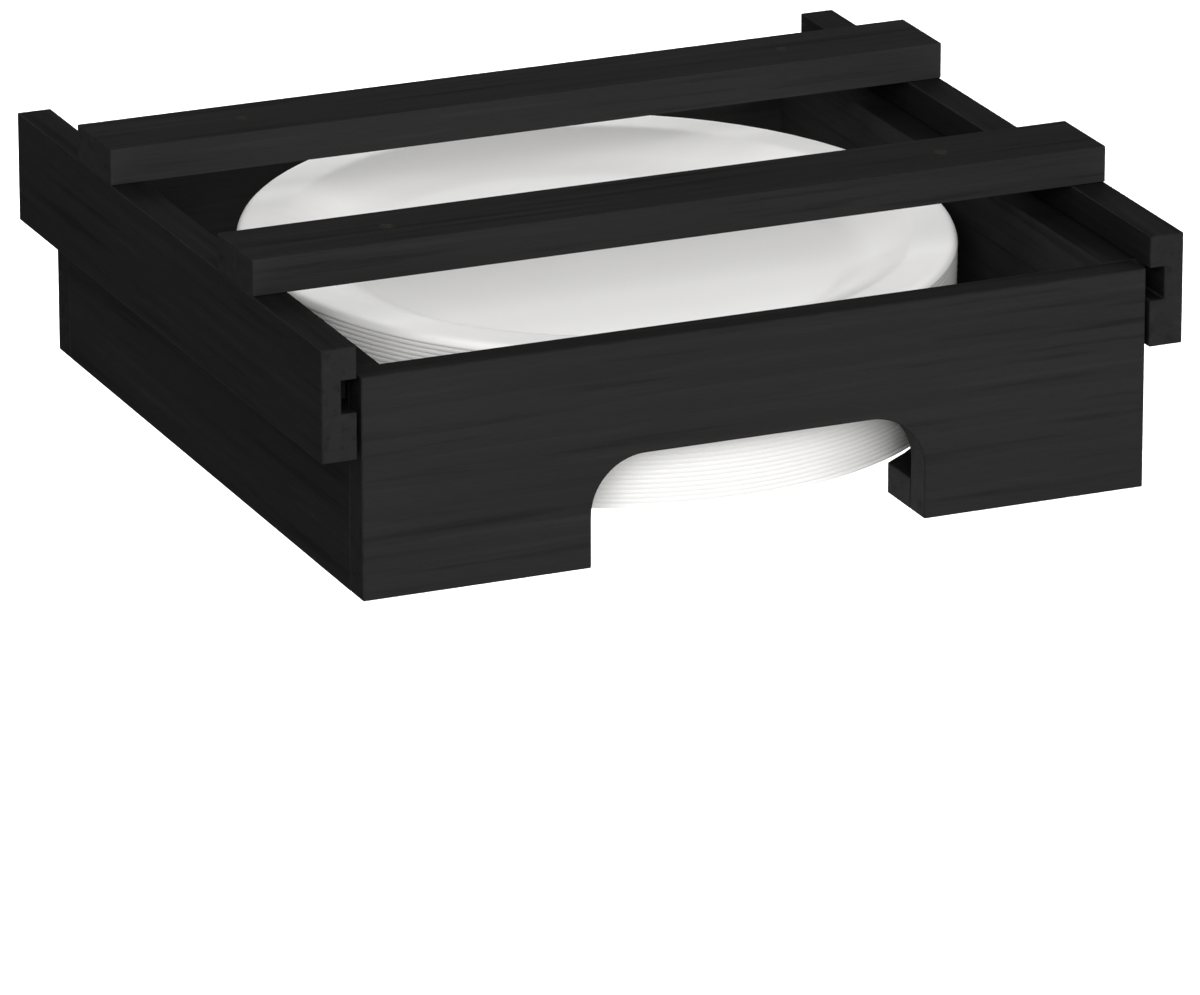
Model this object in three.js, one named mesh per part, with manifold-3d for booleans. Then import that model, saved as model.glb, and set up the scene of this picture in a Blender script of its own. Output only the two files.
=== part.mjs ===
// Under-cabinet paper plate dispenser: two grooved rails under two crossbars, a tray that slides out
// between the rails on runners, and a nested stack of round plates in the tray.
// Millimetres. +X right, +Y back, +Z up. The origin is under the middle of the tray, at its underside.
import * as THREE from "three";
import { mergeVertices } from "three/addons/utils/BufferGeometryUtils.js";
import Module from "manifold-3d";

const wasm = await Module();
wasm.setup();

// Driving dimensions

const tray = { width: 260, depth: 259, height: 71, board: 10 };
const jointGap = 0.2; // glue line between two boards
const cutGap = 0.3; // clearance round a dowel or screw in its hole
const overrun = 1; // how far a cutter runs past the face it opens

const notch = { halfWidth: 55.5, height: 34.5, cornerRadius: 18 };
const dropHole = { radius: 101, centreY: -18.5, segments: 64 };

const rail = { thickness: 11.3, bottom: 45.3, top: 81.1, sideGap: 1.4 };
const groove = { depth: 5, bottom: 60.3, top: 70.8, backStop: 7.5 };
const runner = { sideGap: 0.6, bottomGap: 0.3, topGap: 0.5, frontSetback: 12, backGap: 0.5 };

const crossbar = { width: 29, thickness: 11.6, centreY: 60 };
const mountHole = { x: 93, radius: 2.3, sinkRadius: 4.9, sinkDepth: 3, segments: 20 };

const dowel = { radius: 2.5, chamfer: 0.6, segments: 12 };
const barDowel = { spacing: 16, intoRail: 9, intoBar: 7 };
const cornerDowel = { heights: [16, 46], intoPanel: 6, intoSide: 24 };
const floorDowel = { offsetY: 80, intoSide: 6, intoFloor: 14 };
const screwHead = { radius: 3, rim: 0.3, height: 1.7 };
const screw = { radius: 1.5, length: 12, tip: 2.5, segments: 12 };
const runnerScrew = { offsetsY: [-95, 2, 99], recess: 0.2 };

const plate = { radius: 113, wellRadius: 99, baseRadius: 78, depth: 9.5, thickness: 1 };
const plateEdge = { lipWidth: 2.5, lipDrop: 0.9 };
const plateWell = { topRound: 2.5, topDrop: 0.5, baseRound: 4, baseRise: 0.7 };
const stack = { height: 50.1, tilt: 1.6, bottomY: -4.4, rimFloorGap: 0.3, gap: 0.35, segments: 40 };

const halfWidth = tray.width / 2;
const halfDepth = tray.depth / 2;
const railInner = halfWidth + rail.sideGap;
const railOuter = railInner + rail.thickness;
const barBottom = rail.top + jointGap;
const sides = [["left", -1], ["right", 1]];
const ends = [["front", -1], ["rear", 1]];

// Materials

const finish = (color, roughness, metalness) =>
  new THREE.MeshStandardMaterial({ color, roughness, metalness });
const stainedWood = () => finish(0x1c1b1b, 0.55, 0);
const plainBeech = () => finish(0xc9a06b, 0.7, 0);
const blackSteel = () => finish(0x34343a, 0.4, 1);
const whitePaper = () => finish(0xf3f1ee, 0.8, 0);

// Solids: geometry in, geometry out, with manifold-3d for the cuts

function solidOf(geometry) {
  const bare = geometry.clone();
  bare.deleteAttribute("normal");
  bare.deleteAttribute("uv");
  const merged = mergeVertices(bare, 1e-4);
  const index = merged.index.array;
  const triVerts = [];
  for (let i = 0; i < index.length; i += 3) {
    const [a, b, c] = index.slice(i, i + 3);
    if (a !== b && b !== c && c !== a) triVerts.push(a, b, c);
  }
  const vertProperties = new Float32Array(merged.attributes.position.array);
  const mesh = new wasm.Mesh({ numProp: 3, vertProperties, triVerts: new Uint32Array(triVerts) });
  return new wasm.Manifold(mesh);
}

function geometryOf(solid) {
  const mesh = solid.getMesh();
  const geometry = new THREE.BufferGeometry();
  geometry.setAttribute("position", new THREE.BufferAttribute(new Float32Array(mesh.vertProperties), 3));
  geometry.setIndex(new THREE.BufferAttribute(new Uint32Array(mesh.triVerts), 1));
  geometry.computeVertexNormals();
  return geometry;
}

// A block between two corners, standing in the object's frame
function block(low, high) {
  const size = high.map((value, axis) => value - low[axis]);
  const centre = high.map((value, axis) => (value + low[axis]) / 2);
  return new THREE.BoxGeometry(...size).translate(...centre);
}

// A profile of [radius, height] points turned about its own Z axis
function turned(profile, segments) {
  const points = profile.map(([radius, height]) => new THREE.Vector2(radius, height));
  return new THREE.LatheGeometry(points, segments).rotateX(Math.PI / 2);
}

// Turns a Z-axis shape so that its +Z points along the given direction, then moves it
function aimed(geometry, direction, position) {
  const turn = new THREE.Quaternion().setFromUnitVectors(new THREE.Vector3(0, 0, 1), direction);
  return geometry.applyQuaternion(turn).translate(...position);
}

const ordered = (a, b) => [Math.min(a, b), Math.max(a, b)];
const up = new THREE.Vector3(0, 0, 1);
const back = new THREE.Vector3(0, 1, 0);
const outward = (side) => new THREE.Vector3(side, 0, 0);

// A plain round cutter from one end of a hole to the other
function boreCutter(radius, length, direction, position, segments = dowel.segments) {
  const profile = [[0, 0], [radius, 0], [radius, length], [0, length]];
  return aimed(turned(profile, segments), direction, position);
}

// A mesh whose geometry is centred on its own middle and placed by its position
function addPiece(group, name, geometry, material) {
  geometry.computeBoundingBox();
  const centre = geometry.boundingBox.getCenter(new THREE.Vector3());
  geometry.translate(-centre.x, -centre.y, -centre.z);
  const mesh = new THREE.Mesh(geometry, material);
  mesh.name = name;
  mesh.position.copy(centre);
  group.add(mesh);
}

function addBoard(group, name, low, high, cutters) {
  let solid = solidOf(block(low, high));
  for (const cutter of cutters) solid = solid.subtract(solidOf(cutter));
  addPiece(group, name, geometryOf(solid), stainedWood());
}

// Dowels: one list of places, used for the pins and for the holes they sit in

function dowelPin(length, direction, start) {
  const { radius, chamfer, segments } = dowel;
  const profile = [
    [0, 0], [radius - chamfer, 0], [radius, chamfer],
    [radius, length - chamfer], [radius - chamfer, length], [0, length],
  ];
  return aimed(turned(profile, segments), direction, start);
}

function dowelHole(place) {
  const start = new THREE.Vector3(...place.start).addScaledVector(place.direction, -cutGap);
  return boreCutter(dowel.radius + cutGap, place.length + 2 * cutGap, place.direction, start.toArray());
}

function barDowelPlaces() {
  const places = [];
  for (const [end, endSign] of ends) {
    for (const [side, sign] of sides) {
      for (const step of [-1, 1]) {
        places.push({
          name: `bar_dowel_${end}_${side}_${step < 0 ? 1 : 2}`,
          direction: up,
          start: [
            sign * (railInner + rail.thickness / 2),
            endSign * crossbar.centreY + step * barDowel.spacing / 2,
            rail.top - barDowel.intoRail,
          ],
          length: barDowel.intoRail + jointGap + barDowel.intoBar,
        });
      }
    }
  }
  return places;
}

function cornerDowelPlaces() {
  const places = [];
  for (const [end, endSign] of ends) {
    const jointY = halfDepth - tray.board;
    const frontStart = -jointY - cornerDowel.intoPanel;
    const rearStart = jointY - jointGap - cornerDowel.intoSide;
    const startY = endSign < 0 ? frontStart : rearStart;
    for (const [side, sign] of sides) {
      cornerDowel.heights.forEach((height, i) => {
        places.push({
          name: `corner_dowel_${end}_${side}_${i + 1}`,
          direction: back,
          start: [sign * (halfWidth - tray.board / 2), startY, height],
          length: cornerDowel.intoPanel + jointGap + cornerDowel.intoSide,
        });
      });
    }
  }
  return places;
}

function floorDowelPlaces() {
  const places = [];
  for (const [side, sign] of sides) {
    for (const [end, endSign] of ends) {
      places.push({
        name: `floor_dowel_${end}_${side}`,
        direction: outward(sign),
        start: [
          sign * (halfWidth - tray.board - jointGap - floorDowel.intoFloor),
          endSign * floorDowel.offsetY,
          tray.board / 2,
        ],
        length: floorDowel.intoFloor + jointGap + floorDowel.intoSide,
      });
    }
  }
  return places;
}

const barDowels = barDowelPlaces();
const cornerDowels = cornerDowelPlaces();
const floorDowels = floorDowelPlaces();

// Hanger: rails and crossbars

function addRails(group) {
  for (const [side, sign] of sides) {
    const xs = ordered(sign * railInner, sign * railOuter);
    const grooveXs = ordered(sign * (railInner - overrun), sign * (railInner + groove.depth));
    const grooveCutter = block(
      [grooveXs[0], -halfDepth - overrun, groove.bottom],
      [grooveXs[1], halfDepth - groove.backStop, groove.top],
    );
    const holes = barDowels.filter((place) => place.name.includes(side)).map(dowelHole);
    addBoard(
      group, `rail_${side}`,
      [xs[0], -halfDepth, rail.bottom], [xs[1], halfDepth, rail.top],
      [grooveCutter, ...holes],
    );
  }
}

function mountHoleCutter(x, y) {
  const { radius, sinkRadius, sinkDepth, segments } = mountHole;
  const slope = (sinkRadius - radius) / sinkDepth;
  const top = crossbar.thickness + overrun;
  const profile = [
    [0, -overrun], [sinkRadius + slope * overrun, -overrun], [radius, sinkDepth], [radius, top], [0, top],
  ];
  return turned(profile, segments).translate(x, y, barBottom);
}

function addCrossbars(group) {
  for (const [end, endSign] of ends) {
    const y = endSign * crossbar.centreY;
    const dowelHoles = barDowels.filter((place) => place.name.includes(end)).map(dowelHole);
    const mountHoles = sides.map(([, sign]) => mountHoleCutter(sign * mountHole.x, y));
    addBoard(
      group, `crossbar_${end}`,
      [-railOuter, y - crossbar.width / 2, barBottom],
      [railOuter, y + crossbar.width / 2, barBottom + crossbar.thickness],
      [...dowelHoles, ...mountHoles],
    );
  }
}

// Tray: front, back, sides, floor and runners

function notchCutter() {
  const { halfWidth: x, height, cornerRadius } = notch;
  const outline = new THREE.Shape();
  outline.moveTo(-x, -overrun);
  outline.lineTo(x, -overrun);
  outline.lineTo(x, height - cornerRadius);
  outline.absarc(x - cornerRadius, height - cornerRadius, cornerRadius, 0, Math.PI / 2, false);
  outline.lineTo(-x + cornerRadius, height);
  outline.absarc(-x + cornerRadius, height - cornerRadius, cornerRadius, Math.PI / 2, Math.PI, false);
  outline.closePath();
  const depth = tray.board + 2 * overrun;
  const cutter = new THREE.ExtrudeGeometry(outline, { depth, bevelEnabled: false, curveSegments: 10 });
  return cutter.rotateX(Math.PI / 2).translate(0, -halfDepth + tray.board + overrun, 0);
}

function addFrontAndBack(group) {
  const inner = halfDepth - tray.board;
  const holesAt = (end) => cornerDowels.filter((place) => place.name.includes(end)).map(dowelHole);
  addBoard(
    group, "front_panel",
    [-halfWidth, -halfDepth, 0], [halfWidth, -inner, tray.height],
    [notchCutter(), ...holesAt("front")],
  );
  addBoard(
    group, "back_panel",
    [-halfWidth, inner, 0], [halfWidth, halfDepth, tray.height],
    holesAt("rear"),
  );
}

function addSides(group) {
  const innerY = halfDepth - tray.board - jointGap;
  for (const [side, sign] of sides) {
    const xs = ordered(sign * (halfWidth - tray.board), sign * halfWidth);
    const dowelHoles = [...cornerDowels, ...floorDowels]
      .filter((place) => place.name.includes(side))
      .map(dowelHole);
    addBoard(
      group, `side_panel_${side}`,
      [xs[0], -innerY, 0], [xs[1], innerY, tray.height],
      [...dowelHoles, ...runnerScrewPlaces(sign).map(screwHole)],
    );
  }
}

function addFloor(group) {
  const x = halfWidth - tray.board - jointGap;
  const y = halfDepth - tray.board - jointGap;
  const roundHole = boreCutter(
    dropHole.radius, tray.board + 2 * overrun, up, [0, dropHole.centreY, -overrun], dropHole.segments,
  );
  const frontSlot = block(
    [-notch.halfWidth, -y - overrun, -overrun],
    [notch.halfWidth, dropHole.centreY, tray.board + overrun],
  );
  addBoard(
    group, "bottom_panel",
    [-x, -y, 0], [x, y, tray.board],
    [roundHole, frontSlot, ...floorDowels.map(dowelHole)],
  );
}

const runnerOuter = railInner + groove.depth - runner.sideGap;

function addRunners(group) {
  for (const [side, sign] of sides) {
    const xs = ordered(sign * (halfWidth + jointGap), sign * runnerOuter);
    addBoard(
      group, `runner_${side}`,
      [xs[0], -halfDepth + runner.frontSetback, groove.bottom + runner.bottomGap],
      [xs[1], halfDepth - groove.backStop - runner.backGap, groove.top - runner.topGap],
      runnerScrewPlaces(sign).map(screwHole),
    );
  }
}

// Countersunk screws that hold the runners, heads outwards

function runnerScrewPlaces(sign) {
  const height = (groove.bottom + runner.bottomGap + groove.top - runner.topGap) / 2;
  return runnerScrew.offsetsY.map((y) => ({
    direction: outward(-sign),
    start: [sign * (runnerOuter - runnerScrew.recess), y, height],
  }));
}

function screwShape(place, grow, headRoom) {
  const { radius, length, tip, segments } = screw;
  const headRadius = screwHead.radius + grow;
  const profile = [
    [0, -headRoom], [headRadius, -headRoom], [headRadius, screwHead.rim],
    [radius + grow, screwHead.rim + screwHead.height], [radius + grow, length - tip],
    [0, length + grow],
  ];
  return aimed(turned(profile, segments), place.direction, place.start);
}

const screwHole = (place) => screwShape(place, cutGap, runnerScrew.recess + overrun);

function addRunnerScrews(group) {
  for (const [side, sign] of sides) {
    runnerScrewPlaces(sign).forEach((place, i) => {
      addPiece(group, `runner_screw_${side}_${i + 1}`, screwShape(place, 0, 0), blackSteel());
    });
  }
}

function addDowels(group) {
  for (const place of [...barDowels, ...cornerDowels, ...floorDowels]) {
    addPiece(group, place.name, dowelPin(place.length, place.direction, place.start), plainBeech());
  }
}

// Plates: a shared section, nested by shifting it up its own axis

function plateLine(lift) {
  const { radius, wellRadius, baseRadius, depth } = plate;
  const floor = lift - depth;
  return [
    [0, floor], [baseRadius - plateWell.baseRound, floor], [baseRadius, floor + plateWell.baseRise],
    [wellRadius, lift - plateWell.topDrop], [wellRadius + plateWell.topRound, lift],
    [radius - plateEdge.lipWidth, lift], [radius, lift - plateEdge.lipDrop],
  ];
}

function nestedPlates(lower, upper) {
  return turned([...plateLine(lower), ...plateLine(upper).reverse()], stack.segments);
}

function addPlates(group) {
  const tilt = THREE.MathUtils.degToRad(stack.tilt);
  const rimFront = plate.radius * Math.sin(tilt) + plateEdge.lipDrop;
  const nest = new THREE.Group();
  nest.position.set(0, stack.bottomY, tray.board + stack.rimFloorGap + rimFront);
  nest.rotation.x = tilt;
  const under = plate.thickness;
  const over = stack.height - plate.thickness;
  const nested = [
    ["plate_bottom", 0, under],
    ["plate_stack", under + stack.gap, over - stack.gap],
    ["plate_top", over, stack.height],
  ];
  for (const [name, lower, upper] of nested) {
    addPiece(nest, name, nestedPlates(lower, upper), whitePaper());
  }
  group.add(nest);
}

const group = new THREE.Group();
addRails(group);
addCrossbars(group);
addFrontAndBack(group);
addSides(group);
addFloor(group);
addRunners(group);
addRunnerScrews(group);
addDowels(group);
addPlates(group);

export default group;
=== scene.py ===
import bpy
import bmesh
import math
from mathutils import Matrix, Vector


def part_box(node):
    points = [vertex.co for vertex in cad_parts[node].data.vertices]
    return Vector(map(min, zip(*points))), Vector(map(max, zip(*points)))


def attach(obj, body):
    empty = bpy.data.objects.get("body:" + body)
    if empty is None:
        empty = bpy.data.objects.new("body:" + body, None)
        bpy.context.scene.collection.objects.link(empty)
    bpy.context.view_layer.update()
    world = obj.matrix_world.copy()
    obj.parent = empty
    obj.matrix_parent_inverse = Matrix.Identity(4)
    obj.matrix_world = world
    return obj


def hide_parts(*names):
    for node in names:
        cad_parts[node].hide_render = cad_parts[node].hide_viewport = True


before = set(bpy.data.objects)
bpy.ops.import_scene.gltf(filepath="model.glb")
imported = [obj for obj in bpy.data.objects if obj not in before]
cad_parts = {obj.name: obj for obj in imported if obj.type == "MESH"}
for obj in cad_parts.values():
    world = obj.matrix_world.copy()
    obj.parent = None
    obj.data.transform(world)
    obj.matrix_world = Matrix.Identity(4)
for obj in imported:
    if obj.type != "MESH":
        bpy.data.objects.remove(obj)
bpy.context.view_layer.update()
print("frame loaded,", len(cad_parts), "nodes")


# small helpers for objects and node trees

def intoScene(name, data):
    thing = bpy.data.objects.new(name, data)
    bpy.context.scene.collection.objects.link(thing)
    return thing


def addNode(tree, kind, **values):
    node = tree.nodes.new(kind)
    for name, value in values.items():
        setattr(node, name, value)
    return node


def feed(tree, source, target):
    # a socket is linked to the target, a plain value is set on it
    if isinstance(source, bpy.types.NodeSocket):
        tree.links.new(source, target)
    elif target.type == "RGBA":
        target.default_value = (*source, 1)
    else:
        target.default_value = source


def mathNode(tree, operation, first, second=0.0, clamp=False):
    node = addNode(tree, "ShaderNodeMath", operation=operation, use_clamp=clamp)
    feed(tree, first, node.inputs[0])
    feed(tree, second, node.inputs[1])
    return node.outputs[0]


def product(tree, first, *others):
    for other in others:
        first = mathNode(tree, "MULTIPLY", first, other)
    return first


def pointNode(tree, x=0.0, y=0.0, z=0.0):
    node = addNode(tree, "ShaderNodeCombineXYZ")
    for slot, value in zip(node.inputs, (x, y, z)):
        feed(tree, value, slot)
    return node.outputs[0]


def spread(tree, source, fromLow, fromHigh, toLow, toHigh):
    node = addNode(tree, "ShaderNodeMapRange")
    for slot, value in zip(node.inputs, (source, fromLow, fromHigh, toLow, toHigh)):
        feed(tree, value, slot)
    return node.outputs[0]


# helpers for materials

def newMaterial(name):
    material = bpy.data.materials.new(name)
    material.use_nodes = True
    tree = material.node_tree
    shader = tree.nodes["Principled BSDF"]
    place = addNode(tree, "ShaderNodeTexCoord").outputs["Object"]
    return material, tree, shader, place


def mapped(tree, vector, location=(0, 0, 0), rotation=(0, 0, 0), scale=(1, 1, 1)):
    node = addNode(tree, "ShaderNodeMapping", vector_type="POINT")
    values = {"Vector": vector, "Location": location, "Rotation": rotation, "Scale": scale}
    for name, value in values.items():
        feed(tree, value, node.inputs[name])
    return node.outputs["Vector"]


def noiseNode(tree, vector, scale, detail, roughness=0.5):
    node = addNode(tree, "ShaderNodeTexNoise")
    values = {"Vector": vector, "Scale": scale, "Detail": detail, "Roughness": roughness}
    for name, value in values.items():
        feed(tree, value, node.inputs[name])
    return node.outputs["Fac"]


def attributeNode(tree, name):
    return addNode(tree, "ShaderNodeAttribute", attribute_name=name).outputs["Fac"]


def rampNode(tree, source, stops):
    ramp = addNode(tree, "ShaderNodeValToRGB")
    elements = ramp.color_ramp.elements
    while len(elements) < len(stops):
        elements.new(0.5)
    for element, (place, colour) in zip(elements, stops):
        element.position = place
        element.color = (*colour, 1)
    feed(tree, source, ramp.inputs["Fac"])
    return ramp.outputs["Color"]


def mixColours(tree, factor, first, second, blend="MIX"):
    mix = addNode(tree, "ShaderNodeMix", data_type="RGBA", blend_type=blend)
    feed(tree, factor, mix.inputs[0])
    slots = [slot for slot in mix.inputs if slot.type == "RGBA"]
    feed(tree, first, slots[0])
    feed(tree, second, slots[1])
    return next(slot for slot in mix.outputs if slot.type == "RGBA")


def darkenBy(tree, colour, shade):
    grey = addNode(tree, "ShaderNodeCombineColor")
    for slot in grey.inputs:
        feed(tree, shade, slot)
    return mixColours(tree, 1.0, colour, grey.outputs[0], "MULTIPLY")


def raiseSurface(tree, shader, height, strength, distance):
    bump = addNode(tree, "ShaderNodeBump")
    bump.inputs["Strength"].default_value = strength
    bump.inputs["Distance"].default_value = distance
    feed(tree, height, bump.inputs["Height"])
    feed(tree, bump.outputs["Normal"], shader.inputs["Normal"])


# black-stained wood: the pattern runs along the board, so each board has its own copy of the
# material, turned to its grain

stain = {
    "darkStreak": (0.0124, 0.0123, 0.0123),
    "stainColour": (0.0172, 0.0171, 0.0170),
    "paleStreak": (0.0204, 0.0202, 0.0200),
    "streakStops": (0.30, 0.44, 0.58, 0.74),  # where dark turns to stain, and stain to pale
    "wornEdge": (0.0250, 0.0235, 0.0220),
    "bareWood": (0.034, 0.030, 0.026),
    "roughness": (0.74, 0.90),  # smoothest, roughest
    "specular": 0.007,
    # patterns: scale along the grain and twice across it, detail, roughness
    "streaks": ((11.0, 330.0, 330.0), 4.0, 0.55),
    "figure": ((5.0, 70.0, 70.0), 3.0, 0.50),
    "blotches": ((7.0, 7.0, 7.0), 3.0, 0.50),
    "pores": ((170.0, 2600.0, 2600.0), 1.0, 0.40),
    "rubMarks": ((160.0, 160.0, 160.0), 4.0, 0.65),
    # what each does: pattern values from low to high become these
    "figureTone": (0.34, 0.68, 0.94, 1.05),
    "ringTone": (0.0, 1.0, 0.96, 1.04),
    "blotchTone": (0.3, 0.7, 0.96, 1.05),
    "rubShare": (0.46, 0.72, 0.0, 0.55),
    "poreHeight": (0.60, 0.72, 0.0, -0.9),
    "streakRange": (0.3, 0.75),
    "streakHeight": 0.9,
    "bumpStrength": 0.45,
    "bumpDistance": 0.00022,
    # growth rings round a pith outside the board, which lean out of its face at a slight angle
    "pithDistance": (0.0, 0.075, 0.048),
    "ringLean": math.radians(1.6),
    "ringsPerMetre": 44.0,
    "ringWobble": {"Distortion": 2.2, "Detail": 2.0, "Detail Scale": 0.30},
    # each board is cut from its own place in the pattern
    "boardShift": (0.37, 0.013, 0.009),
}

grainTurns = {"x": (0, 0, 0), "y": (0, 0, math.radians(-90)), "z": (0, math.radians(90), 0)}


def growthRings(tree, along, number):
    lean = (0, stain["ringLean"], stain["ringLean"] * (number % 3 - 1))
    rings = addNode(
        tree, "ShaderNodeTexWave", wave_type="RINGS", rings_direction="X", wave_profile="SAW")
    rings.inputs["Scale"].default_value = stain["ringsPerMetre"]
    for name, value in stain["ringWobble"].items():
        rings.inputs[name].default_value = value
    feed(tree, mapped(tree, along, stain["pithDistance"], lean), rings.inputs["Vector"])
    return rings.outputs["Fac"]


def stainedWood(boardName, grain, tone, number):
    material, tree, shader, place = newMaterial("stainedWood_" + boardName)
    shiftX, shiftY, shiftZ = stain["boardShift"]
    shift = (shiftX * number, shiftY * (number % 4), shiftZ * (number % 3))
    along = mapped(tree, place, shift, grainTurns[grain])

    def pattern(name):
        scale, detail, roughness = stain[name]
        return noiseNode(tree, mapped(tree, along, scale=scale), 1.0, detail, roughness)

    streaks = pattern("streaks")
    colours = ("darkStreak", "stainColour", "stainColour", "paleStreak")
    body = rampNode(tree, streaks, [
        (stop, stain[colour]) for stop, colour in zip(stain["streakStops"], colours)])
    low, high, darkest, palest = stain["figureTone"]
    bands = spread(tree, pattern("figure"), low, high, darkest * tone, palest * tone)
    ringBands = spread(tree, growthRings(tree, along, number), *stain["ringTone"])
    patchy = spread(tree, pattern("blotches"), *stain["blotchTone"])
    # the per-face tone multiplied in here is painted light and shade; the rest is grain, rings and
    # blotches
    shade = product(tree, bands, ringBands, patchy, attributeNode(tree, "paintedLightTone"))
    stained = darkenBy(tree, body, shade)

    # the stain rubs thin where the eased edges are handled, and drilled holes show bare wood
    rubbed = spread(tree, pattern("rubMarks"), *stain["rubShare"])
    worn = mathNode(tree, "MULTIPLY", attributeNode(tree, "easedEdge"), rubbed, True)
    colour = mixColours(tree, worn, stained, stain["wornEdge"])
    colour = mixColours(tree, attributeNode(tree, "drilledHole"), colour, stain["bareWood"])
    feed(tree, colour, shader.inputs["Base Color"])

    smoothest, roughest = stain["roughness"]
    sheen = spread(tree, streaks, *stain["streakRange"], roughest, smoothest)
    feed(tree, sheen, shader.inputs["Roughness"])
    shader.inputs["Specular IOR Level"].default_value = stain["specular"]

    openPores = spread(tree, pattern("pores"), *stain["poreHeight"])
    relief = mathNode(tree, "ADD", product(tree, streaks, stain["streakHeight"]), openPores)
    raiseSurface(tree, shader, relief, stain["bumpStrength"], stain["bumpDistance"])
    return material


# boards: each CAD board again with eased edges

boards = {
    "ease": 0.0007,
    "easeSteps": 3,
    "easeProfile": 0.5,
    "sharpAngle": math.radians(30),
    "flatAngle": math.radians(0.5),
    "mergeDistance": 1e-5,
    "speck": 2e-6,
    # these tones stand in for part of the light: all at 1, the stain has one depth everywhere
    "paintedLightTone": (0.46, 1.00, 0.45),  # faces across x, y and z
    # painted light: the eased edges take one tone between those of the faces
    "edgeLightTone": 0.75,
    "insideLightTone": (2.8, 1.8, 1.0),  # painted light on the tray's inside faces, which lie in shade, on top of the face tones
    "list": (
        # node, grain, body, tone of the whole board
        ("front_panel", "x", "tray", 1.16),
        ("back_panel", "x", "tray", 1.04),
        ("side_panel_left", "y", "tray", 1.08),
        ("side_panel_right", "y", "tray", 1.12),
        ("bottom_panel", "x", "tray", 1.0),
        ("runner_left", "y", "tray", 1.0),
        ("runner_right", "y", "tray", 1.0),
        ("rail_left", "y", "hanger", 1.08),
        ("rail_right", "y", "hanger", 1.12),
        ("crossbar_front", "x", "hanger", 1.42),
        ("crossbar_rear", "x", "hanger", 1.55),
    ),
}


# painted light and shade: a face's stain tone by the axis it faces, with more on the tray's inside
# faces
def paintedLightOf(face, middle, isPanel):
    tones = list(boards["paintedLightTone"])
    for i in range(3):
        if isPanel and face.normal[i] * middle[i] < 0:
            tones[i] *= boards["insideLightTone"][i]
    return sum(tones[i] * face.normal[i] ** 2 for i in range(3))


def easedBoard(nodeName, grain, body, tone, number):
    ease = boards["ease"]
    work = bmesh.new()
    work.from_mesh(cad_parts[nodeName].data)
    bmesh.ops.remove_doubles(work, verts=work.verts, dist=boards["mergeDistance"])
    bmesh.ops.dissolve_limit(
        work, angle_limit=boards["flatAngle"], verts=work.verts, edges=work.edges,
        use_dissolve_boundaries=False)

    # the layers come first, because adding one after the bevel would lose its list of faces
    edgeLayer = work.faces.layers.float.new("easedEdge")
    holeLayer = work.faces.layers.float.new("drilledHole")
    paintedLightLayer = work.faces.layers.float.new("paintedLightTone")
    low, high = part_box(nodeName)
    for face in work.faces:
        middle = face.calc_center_median()
        face[paintedLightLayer] = paintedLightOf(face, middle, "panel" in nodeName)
        inside = all(low[i] + ease < middle[i] < high[i] - ease for i in range(3))
        face[holeLayer] = float(inside and nodeName.startswith("crossbar"))
    corners = [
        edge for edge in work.edges
        if len(edge.link_faces) == 2 and edge.calc_face_angle() > boards["sharpAngle"]]
    eased = bmesh.ops.bevel(
        work, geom=corners, offset=ease, segments=boards["easeSteps"],
        profile=boards["easeProfile"], affect="EDGES", clamp_overlap=True)
    for face in eased["faces"]:
        face[edgeLayer] = 1.0
        # painted light: each eased edge takes the one edge tone
        face[paintedLightLayer] = boards["edgeLightTone"]
        face.smooth = True
    bmesh.ops.dissolve_degenerate(work, dist=boards["speck"], edges=work.edges)

    mesh = bpy.data.meshes.new(nodeName + "_eased")
    work.to_mesh(mesh)
    work.free()
    mesh.materials.append(stainedWood(nodeName, grain, tone, number))
    board = intoScene(nodeName + "_board", mesh)
    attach(board, body)
    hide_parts(nodeName)


for number, (nodeName, grain, body, tone) in enumerate(boards["list"]):
    easedBoard(nodeName, grain, body, tone, number)
print("boards eased:", len(boards["list"]))


# helpers for geometry trees: shapes turned from a section, and copies of them set on points

def newTree(name, inputs):
    tree = bpy.data.node_groups.new(name, "GeometryNodeTree")
    for label, kind in inputs.items():
        tree.interface.new_socket(label, in_out="INPUT", socket_type="NodeSocket" + kind)
    tree.interface.new_socket("Mesh", in_out="OUTPUT", socket_type="NodeSocketGeometry")
    return tree, addNode(tree, "NodeGroupInput").outputs


def curveNode(tree, points, source):
    node = addNode(tree, "ShaderNodeFloatCurve")
    curve = node.mapping.curves[0]
    while len(curve.points) < len(points):
        curve.points.new(0.5, 0.5)
    for point, place in zip(curve.points, points):
        point.location = place
        point.handle_type = "VECTOR"
    node.mapping.update()
    feed(tree, source, node.inputs["Value"])
    return node.outputs[0]


def positionParts(tree):
    parts = addNode(tree, "ShaderNodeSeparateXYZ")
    feed(tree, addNode(tree, "GeometryNodeInputPosition").outputs[0], parts.inputs[0])
    return parts.outputs


def flatStrip(tree, around, lengthwise):
    # one metre square about the middle: x goes once round, y runs along the section
    strip = addNode(tree, "GeometryNodeMeshGrid")
    strip.inputs["Size X"].default_value = 1
    strip.inputs["Size Y"].default_value = 1
    feed(tree, mathNode(tree, "ADD", around, 1), strip.inputs["Vertices X"])
    feed(tree, lengthwise, strip.inputs["Vertices Y"])
    where = positionParts(tree)
    angle = product(tree, mathNode(tree, "ADD", where["X"], 0.5), math.tau)
    return strip.outputs["Mesh"], angle, where["Y"]


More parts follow.
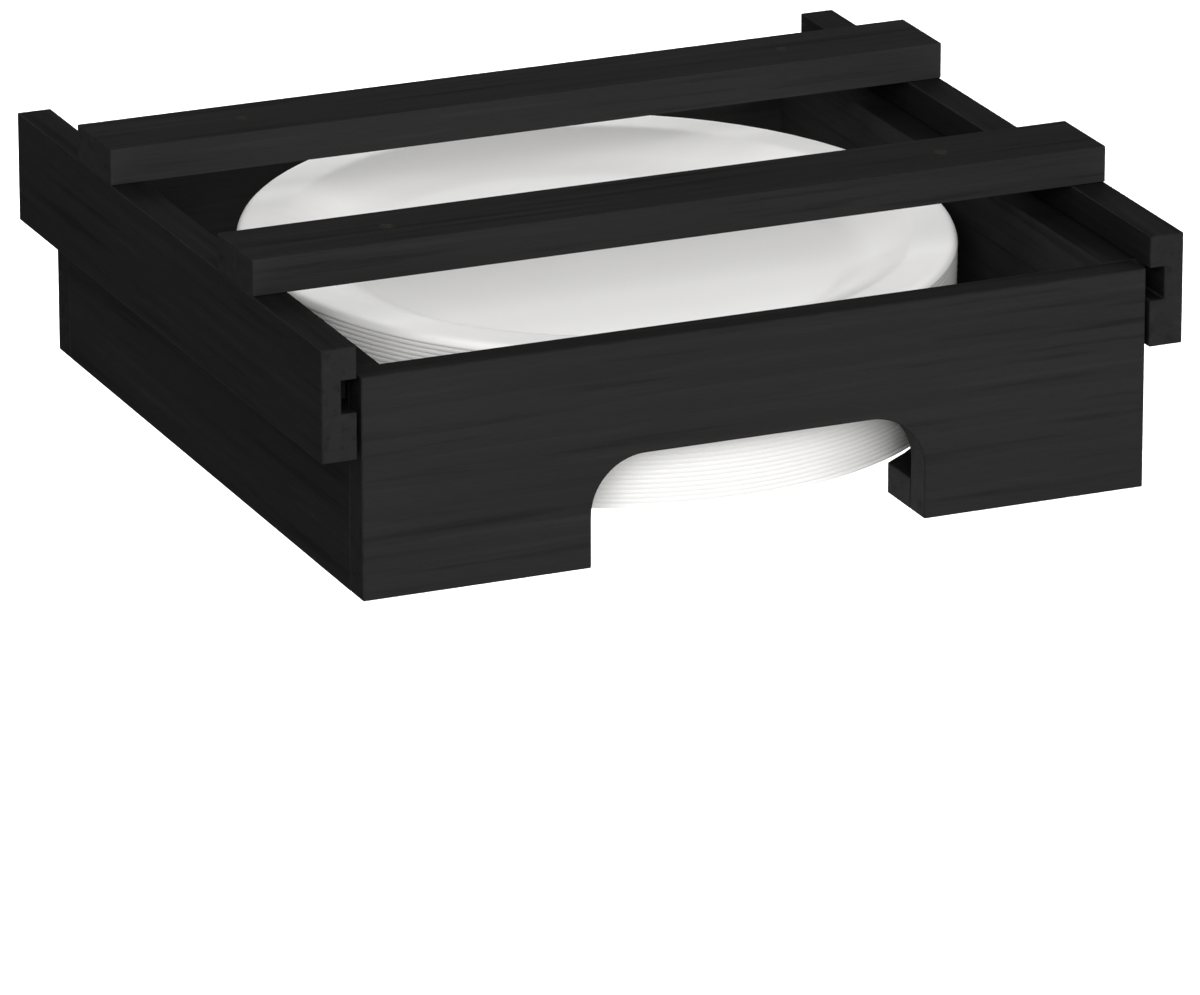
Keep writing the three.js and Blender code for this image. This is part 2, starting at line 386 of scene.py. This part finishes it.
def turnedShape(tree, strip, radius, angle, height, mergeDistance):
    x = product(tree, radius, mathNode(tree, "COSINE", angle))
    y = product(tree, radius, mathNode(tree, "SINE", angle))
    turned = addNode(tree, "GeometryNodeSetPosition")
    feed(tree, strip, turned.inputs["Geometry"])
    feed(tree, pointNode(tree, x, y, height), turned.inputs["Position"])
    closed = addNode(tree, "GeometryNodeMergeByDistance")
    closed.inputs["Distance"].default_value = mergeDistance
    feed(tree, turned.outputs[0], closed.inputs["Geometry"])
    return closed.outputs[0]


def randomVector(tree, seed, lowest, highest):
    node = addNode(tree, "FunctionNodeRandomValue", data_type="FLOAT_VECTOR")
    node.inputs["Min"].default_value = lowest
    node.inputs["Max"].default_value = highest
    feed(tree, seed, node.inputs["Seed"])
    return node.outputs[0]


def randomSpin(tree, seed):
    return randomVector(tree, seed, (0, 0, 0), (0, 0, math.tau))


def realCopies(tree, points, shape, rotation):
    placed = addNode(tree, "GeometryNodeInstanceOnPoints")
    feed(tree, points, placed.inputs["Points"])
    feed(tree, shape, placed.inputs["Instance"])
    feed(tree, rotation, placed.inputs["Rotation"])
    real = addNode(tree, "GeometryNodeRealizeInstances")
    feed(tree, placed.outputs[0], real.inputs[0])
    return real.outputs[0]


def paintAndEnd(tree, shape, material):
    painted = addNode(tree, "GeometryNodeSetMaterial")
    feed(tree, shape, painted.inputs["Geometry"])
    feed(tree, material, painted.inputs["Material"])
    feed(tree, painted.outputs[0], addNode(tree, "NodeGroupOutput").inputs["Mesh"])


def builtFrom(name, tree, values, places=()):
    start = bpy.data.meshes.new(name + "_start")
    start.from_pydata(places, [], [])
    holder = intoScene(name + "_holder", start)
    modifier = holder.modifiers.new("tree", "NODES")
    modifier.node_group = tree
    for item in tree.interface.items_tree:
        if item.item_type == "SOCKET" and item.in_out == "INPUT" and item.name in values:
            modifier[item.identifier] = values[item.name]
    ready = holder.evaluated_get(bpy.context.evaluated_depsgraph_get())
    mesh = bpy.data.meshes.new_from_object(ready)
    bpy.data.objects.remove(holder)
    mesh.name = name
    return intoScene(name, mesh)


def outwardFaces(mesh):
    work = bmesh.new()
    work.from_mesh(mesh)
    if work.calc_volume(signed=True) < 0:
        bmesh.ops.reverse_faces(work, faces=work.faces)
    work.to_mesh(mesh)
    work.free()


# white paperboard: short fibres, a faint mottle, and painted shade that makes the floor a touch
# greyer than the rim

paper = {
    "white": (0.895, 0.888, 0.880),
    "mottle": (0.860, 0.852, 0.842),
    # tones and roughness: pattern values from low to high become these
    "cloudScale": 28.0,
    "cloudTone": (0.3, 0.7, 0.0, 0.35),
    "fibreScale": 1400.0,
    "fibreTone": (0.35, 0.75, 0.0, 0.35),
    "detail": 3.0,
    # painted shade: the depth below the rim, from low to high, becomes this tone
    "wellShadeTone": (0.6, 1.0, 1.0, 0.89),
    "roughness": (0.3, 0.7, 0.57, 0.70),
    "specular": 0.3,
    "bumpStrength": 0.12,
    "bumpDistance": 0.00006,
}


def paperboard():
    material, tree, shader, place = newMaterial("paperboard")
    cloud = noiseNode(tree, place, paper["cloudScale"], paper["detail"])
    fibres = noiseNode(tree, place, paper["fibreScale"], paper["detail"])
    cloudy = spread(tree, cloud, *paper["cloudTone"])
    fibrous = spread(tree, fibres, *paper["fibreTone"])
    tone = mathNode(tree, "ADD", cloudy, fibrous)
    colour = mixColours(tree, tone, paper["white"], paper["mottle"])
    # painted shade: the deeper the paper lies in the well, the greyer it is
    wellShade = spread(tree, attributeNode(tree, "wellShadeDepth"), *paper["wellShadeTone"])
    feed(tree, darkenBy(tree, colour, wellShade), shader.inputs["Base Color"])
    feed(tree, spread(tree, fibres, *paper["roughness"]), shader.inputs["Roughness"])
    shader.inputs["Specular IOR Level"].default_value = paper["specular"]
    raiseSurface(tree, shader, fibres, paper["bumpStrength"], paper["bumpDistance"])
    return material


# paper plates: one tree turns a ruled section round and stacks it

plates = {
    "count": 33,
    "thickness": 0.0005,
    "radius": 0.1124,
    "depth": 0.0095,
    "lipDrop": 0.0023,
    "tilt": math.radians(1.6),
    "wander": 0.00005,
    "seed": 7,
    "fluteCount": 72,
    "fluteDepth": 0.00005,
    "fluteRise": (0.70, 0.80, 0.0, 1.0),
    "fluteFade": (0.90, 0.995, 1.0, 0.25),
    "fineSteps": (288, 96),  # round the plate, and out and back along its section
    "stackSteps": (96, 34),
    "slopeStep": 0.006,  # share of the radius over which the wall's slope is taken
    "hubShare": 0.001,
    "mergeDistance": 0.00002,
    # the CAD plates: how far their lips turn down, their thickness, and the radius where their
    # rims are highest
    "cadLipDrop": 0.0009,
    "cadThickness": 0.001,
    "cadRimRadius": 0.1105,
    # underside of the plate: radius and height in millimetres, from the middle out, with the floor
    # of the well at 0
    "section": (
        (0, 0.30), (40, 0.16), (70, 0.0), (75.5, 0.0), (77.5, 0.22), (79.2, 0.72), (80.6, 1.30),
        (98.0, 8.98), (98.7, 9.24), (99.5, 9.38), (100.4, 9.42), (108.6, 9.50), (110.0, 9.46),
        (110.9, 9.29), (111.5, 8.98), (112.0, 8.38), (112.4, 7.20),
    ),
    # where the rings of the mesh fall, as shares: most of them on the folds and the lip
    "rings": (
        (0.0, 0.0), (0.10, 0.60), (0.16, 0.672), (0.30, 0.716), (0.42, 0.86), (0.58, 0.898),
        (0.66, 0.962), (0.74, 0.974), (1.0, 1.0),
    ),
}

plateInputs = {
    "Plates": "Int", "Pitch": "Float", "Radius": "Float", "Depth": "Float", "Thickness": "Float",
    "Around": "Int", "Across": "Int", "Flutes": "Int", "Flute Depth": "Float", "Wander": "Float",
    "Seed": "Int", "Paper": "Material",
}


def onePlate(tree, given):
    # the strip goes out along the plate's underside and back along its top
    strip, angle, halfway = flatStrip(tree, given["Around"], given["Across"])
    fromLip = mathNode(tree, "ABSOLUTE", product(tree, halfway, 2.0))
    fold = mathNode(tree, "SUBTRACT", 1.0, fromLip)
    rows = mathNode(tree, "SUBTRACT", given["Across"], 1)
    spare = mathNode(tree, "DIVIDE", rows, mathNode(tree, "SUBTRACT", rows, 1))
    outwards = mathNode(tree, "MULTIPLY", fold, spare, True)
    isTop = mathNode(tree, "GREATER_THAN", halfway, 0.0)

    share = curveNode(tree, plates["rings"], outwards)
    reach, climb = plates["radius"] * 1000, plates["depth"] * 1000
    section = [(radius / reach, height / climb) for radius, height in plates["section"]]
    step = plates["slopeStep"]
    rise = curveNode(tree, section, share)
    riseInside = curveNode(tree, section, mathNode(tree, "SUBTRACT", share, step))

    # the flutes are pressed into the wall and fade out on the rim and the floor
    rising = spread(tree, share, *plates["fluteRise"])
    fading = spread(tree, share, *plates["fluteFade"])
    wave = mathNode(tree, "SINE", product(tree, angle, given["Flutes"]))
    flute = product(tree, wave, product(tree, rising, fading), given["Flute Depth"])

    # the top face stands off the underside by the paper's thickness, square to the slope
    up = product(tree, mathNode(tree, "SUBTRACT", rise, riseInside), given["Depth"])
    slope = mathNode(tree, "ARCTAN2", up, product(tree, given["Radius"], step))
    standOff = product(tree, isTop, given["Thickness"])
    awayFromHub = mathNode(tree, "GREATER_THAN", share, plates["hubShare"])
    inwards = product(tree, mathNode(tree, "SINE", slope), standOff, awayFromHub)
    upwards = product(tree, mathNode(tree, "COSINE", slope), standOff)
    radius = product(tree, share, given["Radius"])
    radius = mathNode(tree, "SUBTRACT", radius, inwards)
    height = mathNode(tree, "SUBTRACT", product(tree, rise, given["Depth"]), given["Depth"])
    height = mathNode(tree, "ADD", height, upwards)
    height = mathNode(tree, "ADD", height, flute)

    # the depth below the rim, stored for the paper's painted shade
    wellShade = addNode(
        tree, "GeometryNodeStoreNamedAttribute", data_type="FLOAT", domain="POINT")
    wellShade.inputs["Name"].default_value = "wellShadeDepth"
    feed(tree, mathNode(tree, "SUBTRACT", 1.0, rise, True), wellShade.inputs["Value"])
    feed(tree, strip, wellShade.inputs["Geometry"])
    return turnedShape(
        tree, wellShade.outputs["Geometry"], radius, angle, height, plates["mergeDistance"])


def plateTree():
    tree, given = newTree("nestedPlates", plateInputs)
    plate = onePlate(tree, given)

    # the nest: each plate a pitch above the last, turned and shifted a little at random
    column = addNode(tree, "GeometryNodeMeshLine")
    feed(tree, given["Plates"], column.inputs["Count"])
    feed(tree, pointNode(tree, z=given["Pitch"]), column.inputs["Offset"])
    drift = addNode(tree, "ShaderNodeVectorMath", operation="SCALE")
    feed(tree, randomVector(tree, given["Seed"], (-1, -1, 0), (1, 1, 0)), drift.inputs[0])
    feed(tree, given["Wander"], drift.inputs["Scale"])
    moved = addNode(tree, "GeometryNodeSetPosition")
    feed(tree, column.outputs["Mesh"], moved.inputs["Geometry"])
    feed(tree, drift.outputs[0], moved.inputs["Offset"])
    smooth = addNode(tree, "GeometryNodeSetShadeSmooth")
    nest = realCopies(tree, moved.outputs[0], plate, randomSpin(tree, given["Seed"]))
    feed(tree, nest, smooth.inputs[0])
    paintAndEnd(tree, smooth.outputs[0], given["Paper"])
    return tree


def nestedPlates():
    tree = plateTree()
    white = paperboard()
    lowBox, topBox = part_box("plate_bottom"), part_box("plate_top")
    lean = Matrix.Rotation(plates["tilt"], 4, "X")
    axis = lean @ Vector((0, 0, 1))
    # the top plate's rim is level with its CAD node's, and the bottom plate's lip is as low as
    # its node's
    rimReach = plates["cadRimRadius"] * math.sin(plates["tilt"])
    topMiddle = Vector((0, (topBox[0].y + topBox[1].y) / 2, topBox[1].z - rimReach))
    lowMiddle = Vector((0, (lowBox[0].y + lowBox[1].y) / 2, lowBox[1].z - rimReach))
    extraDrop = plates["lipDrop"] - plates["cadLipDrop"]
    lowest = lowMiddle - axis * plates["cadThickness"] + axis * extraDrop
    highest = topMiddle - axis * plates["thickness"]
    pitch = (highest - lowest).length / (plates["count"] - 1)
    second = lowest + axis * pitch
    between = plates["count"] - 2
    fine, coarse = plates["fineSteps"], plates["stackSteps"]
    flutes, wander = plates["fluteDepth"], plates["wander"]
    rows = (
        # piece, CAD node, middle of its lowest plate, plates, steps of its mesh, flutes, wander
        ("bottomPlate", "plate_bottom", lowest, 1, fine, flutes, 0.0),
        ("platesBetween", "plate_stack", second, between, coarse, 0.0, wander),
        ("topPlate", "plate_top", highest, 1, fine, flutes, 0.0),
    )
    for name, nodeName, foot, count, (around, across), fluteDepth, shift in rows:
        piece = builtFrom(name, tree, {
            "Plates": count, "Pitch": pitch, "Radius": plates["radius"],
            "Depth": plates["depth"], "Thickness": plates["thickness"], "Around": around,
            "Across": across, "Flutes": plates["fluteCount"], "Flute Depth": fluteDepth,
            "Wander": shift, "Seed": plates["seed"], "Paper": white,
        })
        piece.data.transform(Matrix.Translation(foot) @ lean)
        outwardFaces(piece.data)
        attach(piece, "plates")
        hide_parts(nodeName)
        print(name, len(piece.data.polygons), "faces")


nestedPlates()


# beech dowels keep their CAD shapes

beech = {
    "ramp": ((0.3, (0.42, 0.24, 0.11)), (0.7, (0.62, 0.40, 0.20))),
    "fleckScale": 420.0,
    "fleckDetail": 4.0,
    "roughness": 0.6,
    "bumpStrength": 0.2,
    "bumpDistance": 0.0001,
}


def beechWood():
    material, tree, shader, place = newMaterial("turnedBeech")
    flecks = noiseNode(tree, place, beech["fleckScale"], beech["fleckDetail"])
    feed(tree, rampNode(tree, flecks, beech["ramp"]), shader.inputs["Base Color"])
    shader.inputs["Roughness"].default_value = beech["roughness"]
    raiseSurface(tree, shader, flecks, beech["bumpStrength"], beech["bumpDistance"])
    return material


dowelWood = beechWood()
for nodeName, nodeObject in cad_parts.items():
    if "dowel" in nodeName:
        nodeObject.data.materials.clear()
        nodeObject.data.materials.append(dowelWood)
print("dowels finished")


# runner screws: one countersunk screw turned from a section, with a cross cut in its head, set in
# each runner hole

zinc = {
    "ramp": ((0.3, (0.018, 0.018, 0.020)), (0.72, (0.045, 0.045, 0.049))),
    "mottleScale": 900.0,
    "mottleDetail": 3.0,
    "roughness": (0.3, 0.7, 0.42, 0.60),
    "metallic": 0.9,
}

runnerScrews = {
    "headRadius": 0.003,
    "length": 0.012,
    "crossWidth": 0.0009,
    "crossReach": 0.0034,
    "crossDepth": 0.0012,
    "around": 32,
    "down": 21,
    "seed": 3,
    "mergeDistance": 0.000005,
    # share of the way from the middle of the head to the tip, and radius as a share of the head's
    "section": (
        (0.0, 0.0), (0.20, 0.94), (0.25, 1.0), (0.30, 1.0), (0.45, 0.5), (0.80, 0.5), (1.0, 0.0),
    ),
    # the same shares of the way, and depth as a share of the length
    "sink": (
        (0.0, 0.0), (0.20, 0.0), (0.25, 0.012), (0.30, 0.025), (0.45, 0.167), (0.80, 0.79),
        (1.0, 1.0),
    ),
}

screwInputs = {
    "Places": "Geometry", "Head Radius": "Float", "Length": "Float", "Cross Width": "Float",
    "Cross Reach": "Float", "Cross Depth": "Float", "Around": "Int", "Down": "Int",
    "Seed": "Int", "Metal": "Material",
}


def blackZinc():
    material, tree, shader, place = newMaterial("blackZinc")
    mottle = noiseNode(tree, place, zinc["mottleScale"], zinc["mottleDetail"])
    feed(tree, rampNode(tree, mottle, zinc["ramp"]), shader.inputs["Base Color"])
    feed(tree, spread(tree, mottle, *zinc["roughness"]), shader.inputs["Roughness"])
    shader.inputs["Metallic"].default_value = zinc["metallic"]
    return material


def oneScrew(tree, given):
    strip, angle, halfway = flatStrip(tree, given["Around"], given["Down"])
    share = mathNode(tree, "ADD", halfway, 0.5, True)
    width = curveNode(tree, runnerScrews["section"], share)
    sink = curveNode(tree, runnerScrews["sink"], share)
    radius = product(tree, width, given["Head Radius"])
    height = product(tree, sink, given["Length"], -1.0)
    blank = addNode(tree, "GeometryNodeFlipFaces")
    turned = turnedShape(tree, strip, radius, angle, height, runnerScrews["mergeDistance"])
    feed(tree, turned, blank.inputs[0])

    # the cross: two bars through the head, cut away
    cross = addNode(tree, "GeometryNodeMeshBoolean", operation="DIFFERENCE", solver="EXACT")
    feed(tree, blank.outputs[0], cross.inputs["Mesh 1"])
    twiceDeep = product(tree, given["Cross Depth"], 2.0)
    for wide, tall in (("Cross Reach", "Cross Width"), ("Cross Width", "Cross Reach")):
        bar = addNode(tree, "GeometryNodeMeshCube")
        feed(tree, pointNode(tree, given[wide], given[tall], twiceDeep), bar.inputs["Size"])
        feed(tree, bar.outputs["Mesh"], cross.inputs["Mesh 2"])
    return cross.outputs["Mesh"]


def screwTree():
    tree, given = newTree("runnerScrews", screwInputs)
    screw = oneScrew(tree, given)

    # heads face outwards, each cross stopped at its own angle
    facing = pointNode(tree, mathNode(tree, "SIGN", positionParts(tree)["X"]))
    aim = addNode(tree, "FunctionNodeAlignRotationToVector", axis="Z")
    feed(tree, randomSpin(tree, given["Seed"]), aim.inputs["Rotation"])
    feed(tree, facing, aim.inputs["Vector"])
    row = realCopies(tree, given["Places"], screw, aim.outputs[0])
    paintAndEnd(tree, row, given["Metal"])
    return tree


def setRunnerScrews():
    names = sorted(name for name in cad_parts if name.startswith("runner_screw"))
    places = []
    for name in names:
        low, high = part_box(name)
        headFace = high.x if high.x > abs(low.x) else low.x
        places.append((headFace, (low.y + high.y) / 2, (low.z + high.z) / 2))
    piece = builtFrom("runnerScrewHeads", screwTree(), {
        "Head Radius": runnerScrews["headRadius"], "Length": runnerScrews["length"],
        "Cross Width": runnerScrews["crossWidth"], "Cross Reach": runnerScrews["crossReach"],
        "Cross Depth": runnerScrews["crossDepth"], "Around": runnerScrews["around"],
        "Down": runnerScrews["down"], "Seed": runnerScrews["seed"], "Metal": blackZinc(),
    }, places)
    outwardFaces(piece.data)
    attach(piece, "tray")
    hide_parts(*names)
    print("runner screws:", len(places))


setRunnerScrews()


# floor, light and camera

studio = {
    "floorDrop": 0.42,
    "floorSize": 14.0,
    "floorColour": (0.985, 0.985, 0.983),
    "floorMottle": 0.99,
    "floorMottleScale": 3.0,
    "floorMottleDetail": 2.0,
    "floorRoughness": 0.9,
    "floorSpecular": 0.1,
    "worldColour": (1.0, 1.0, 1.0),
    "worldStrength": 0.37,
    # a lamp over the floor behind the object, narrowed so that little of it reaches the object
    "floorLampPlace": (0.55, 1.6, 1.9),
    "floorLampSize": 1.2,
    "floorLampSpread": 66.0,
    "floorLampPower": 9.0,
    "view": "Standard",
}

lamps = (
    # name, azimuth and elevation in degrees, distance, width, height, power
    ("keySoftbox", 50.0, 36.0, 3.6, 1.4, 1.2, 30.0),
    ("fillSoftbox", -27.0, 27.0, 4.6, 2.2, 1.6, 124.0),
    ("leftSoftbox", -84.0, 46.0, 3.2, 1.8, 1.4, 18.0),
    ("backSoftbox", 158.0, 33.0, 3.4, 2.6, 1.4, 66.0),
)

lookout = {
    "azimuth": -23.4025,
    "elevation": 19.4758,
    "roll": 0.0542,
    "distance": 3.1979,
    "aim": (-0.0063, -0.0223, -0.0190),
    "lens": 305.67,
}


def lookingFrom(azimuth, elevation):
    turn, climb = math.radians(azimuth), math.radians(elevation)
    flat = math.cos(climb)
    return Vector((math.sin(turn) * flat, -math.cos(turn) * flat, math.sin(climb)))


def studioFloor():
    material, tree, shader, place = newMaterial("paleFloor")
    mottle = noiseNode(tree, place, studio["floorMottleScale"], studio["floorMottleDetail"])
    pale = studio["floorColour"]
    dimmer = tuple(channel * studio["floorMottle"] for channel in pale)
    feed(tree, mixColours(tree, mottle, pale, dimmer), shader.inputs["Base Color"])
    shader.inputs["Roughness"].default_value = studio["floorRoughness"]
    shader.inputs["Specular IOR Level"].default_value = studio["floorSpecular"]
    half = studio["floorSize"] / 2
    corners = ((-half, -half), (half, -half), (half, half), (-half, half))
    mesh = bpy.data.meshes.new("floor")
    mesh.from_pydata([(x, y, -studio["floorDrop"]) for x, y in corners], [], [(0, 1, 2, 3)])
    mesh.materials.append(material)
    floor = intoScene("floor", mesh)


def areaLamp(name, power, place):
    data = bpy.data.lights.new(name, "AREA")
    data.energy = power
    lamp = intoScene(name, data)
    lamp.location = place
    return lamp


def studioLight():
    world = bpy.data.worlds.new("studio")
    world.use_nodes = True
    sky = world.node_tree.nodes["Background"]
    sky.inputs["Color"].default_value = (*studio["worldColour"], 1)
    sky.inputs["Strength"].default_value = studio["worldStrength"]
    bpy.context.scene.world = world
    for name, azimuth, elevation, distance, width, height, power in lamps:
        lamp = areaLamp(name, power, lookingFrom(azimuth, elevation) * distance)
        lamp.rotation_euler = (-lamp.location).to_track_quat("-Z", "Y").to_euler()
        lamp.data.shape = "RECTANGLE"
        lamp.data.size = width
        lamp.data.size_y = height
    lamp = areaLamp("floorLamp", studio["floorLampPower"], studio["floorLampPlace"])
    lamp.data.size = studio["floorLampSize"]
    lamp.data.spread = math.radians(studio["floorLampSpread"])


def studioCamera():
    back = lookingFrom(lookout["azimuth"], lookout["elevation"])
    camera = intoScene("camera", bpy.data.cameras.new("camera"))
    camera.data.lens = lookout["lens"]
    camera.location = Vector(lookout["aim"]) + back * lookout["distance"]
    camera.rotation_mode = "QUATERNION"
    roll = Matrix.Rotation(math.radians(-lookout["roll"]), 3, "Z").to_quaternion()
    camera.rotation_quaternion = (-back).to_track_quat("-Z", "Y") @ roll
    bpy.context.scene.camera = camera


studioFloor()
studioLight()
studioCamera()
bpy.context.scene.view_settings.view_transform = studio["view"]
print("studio ready")
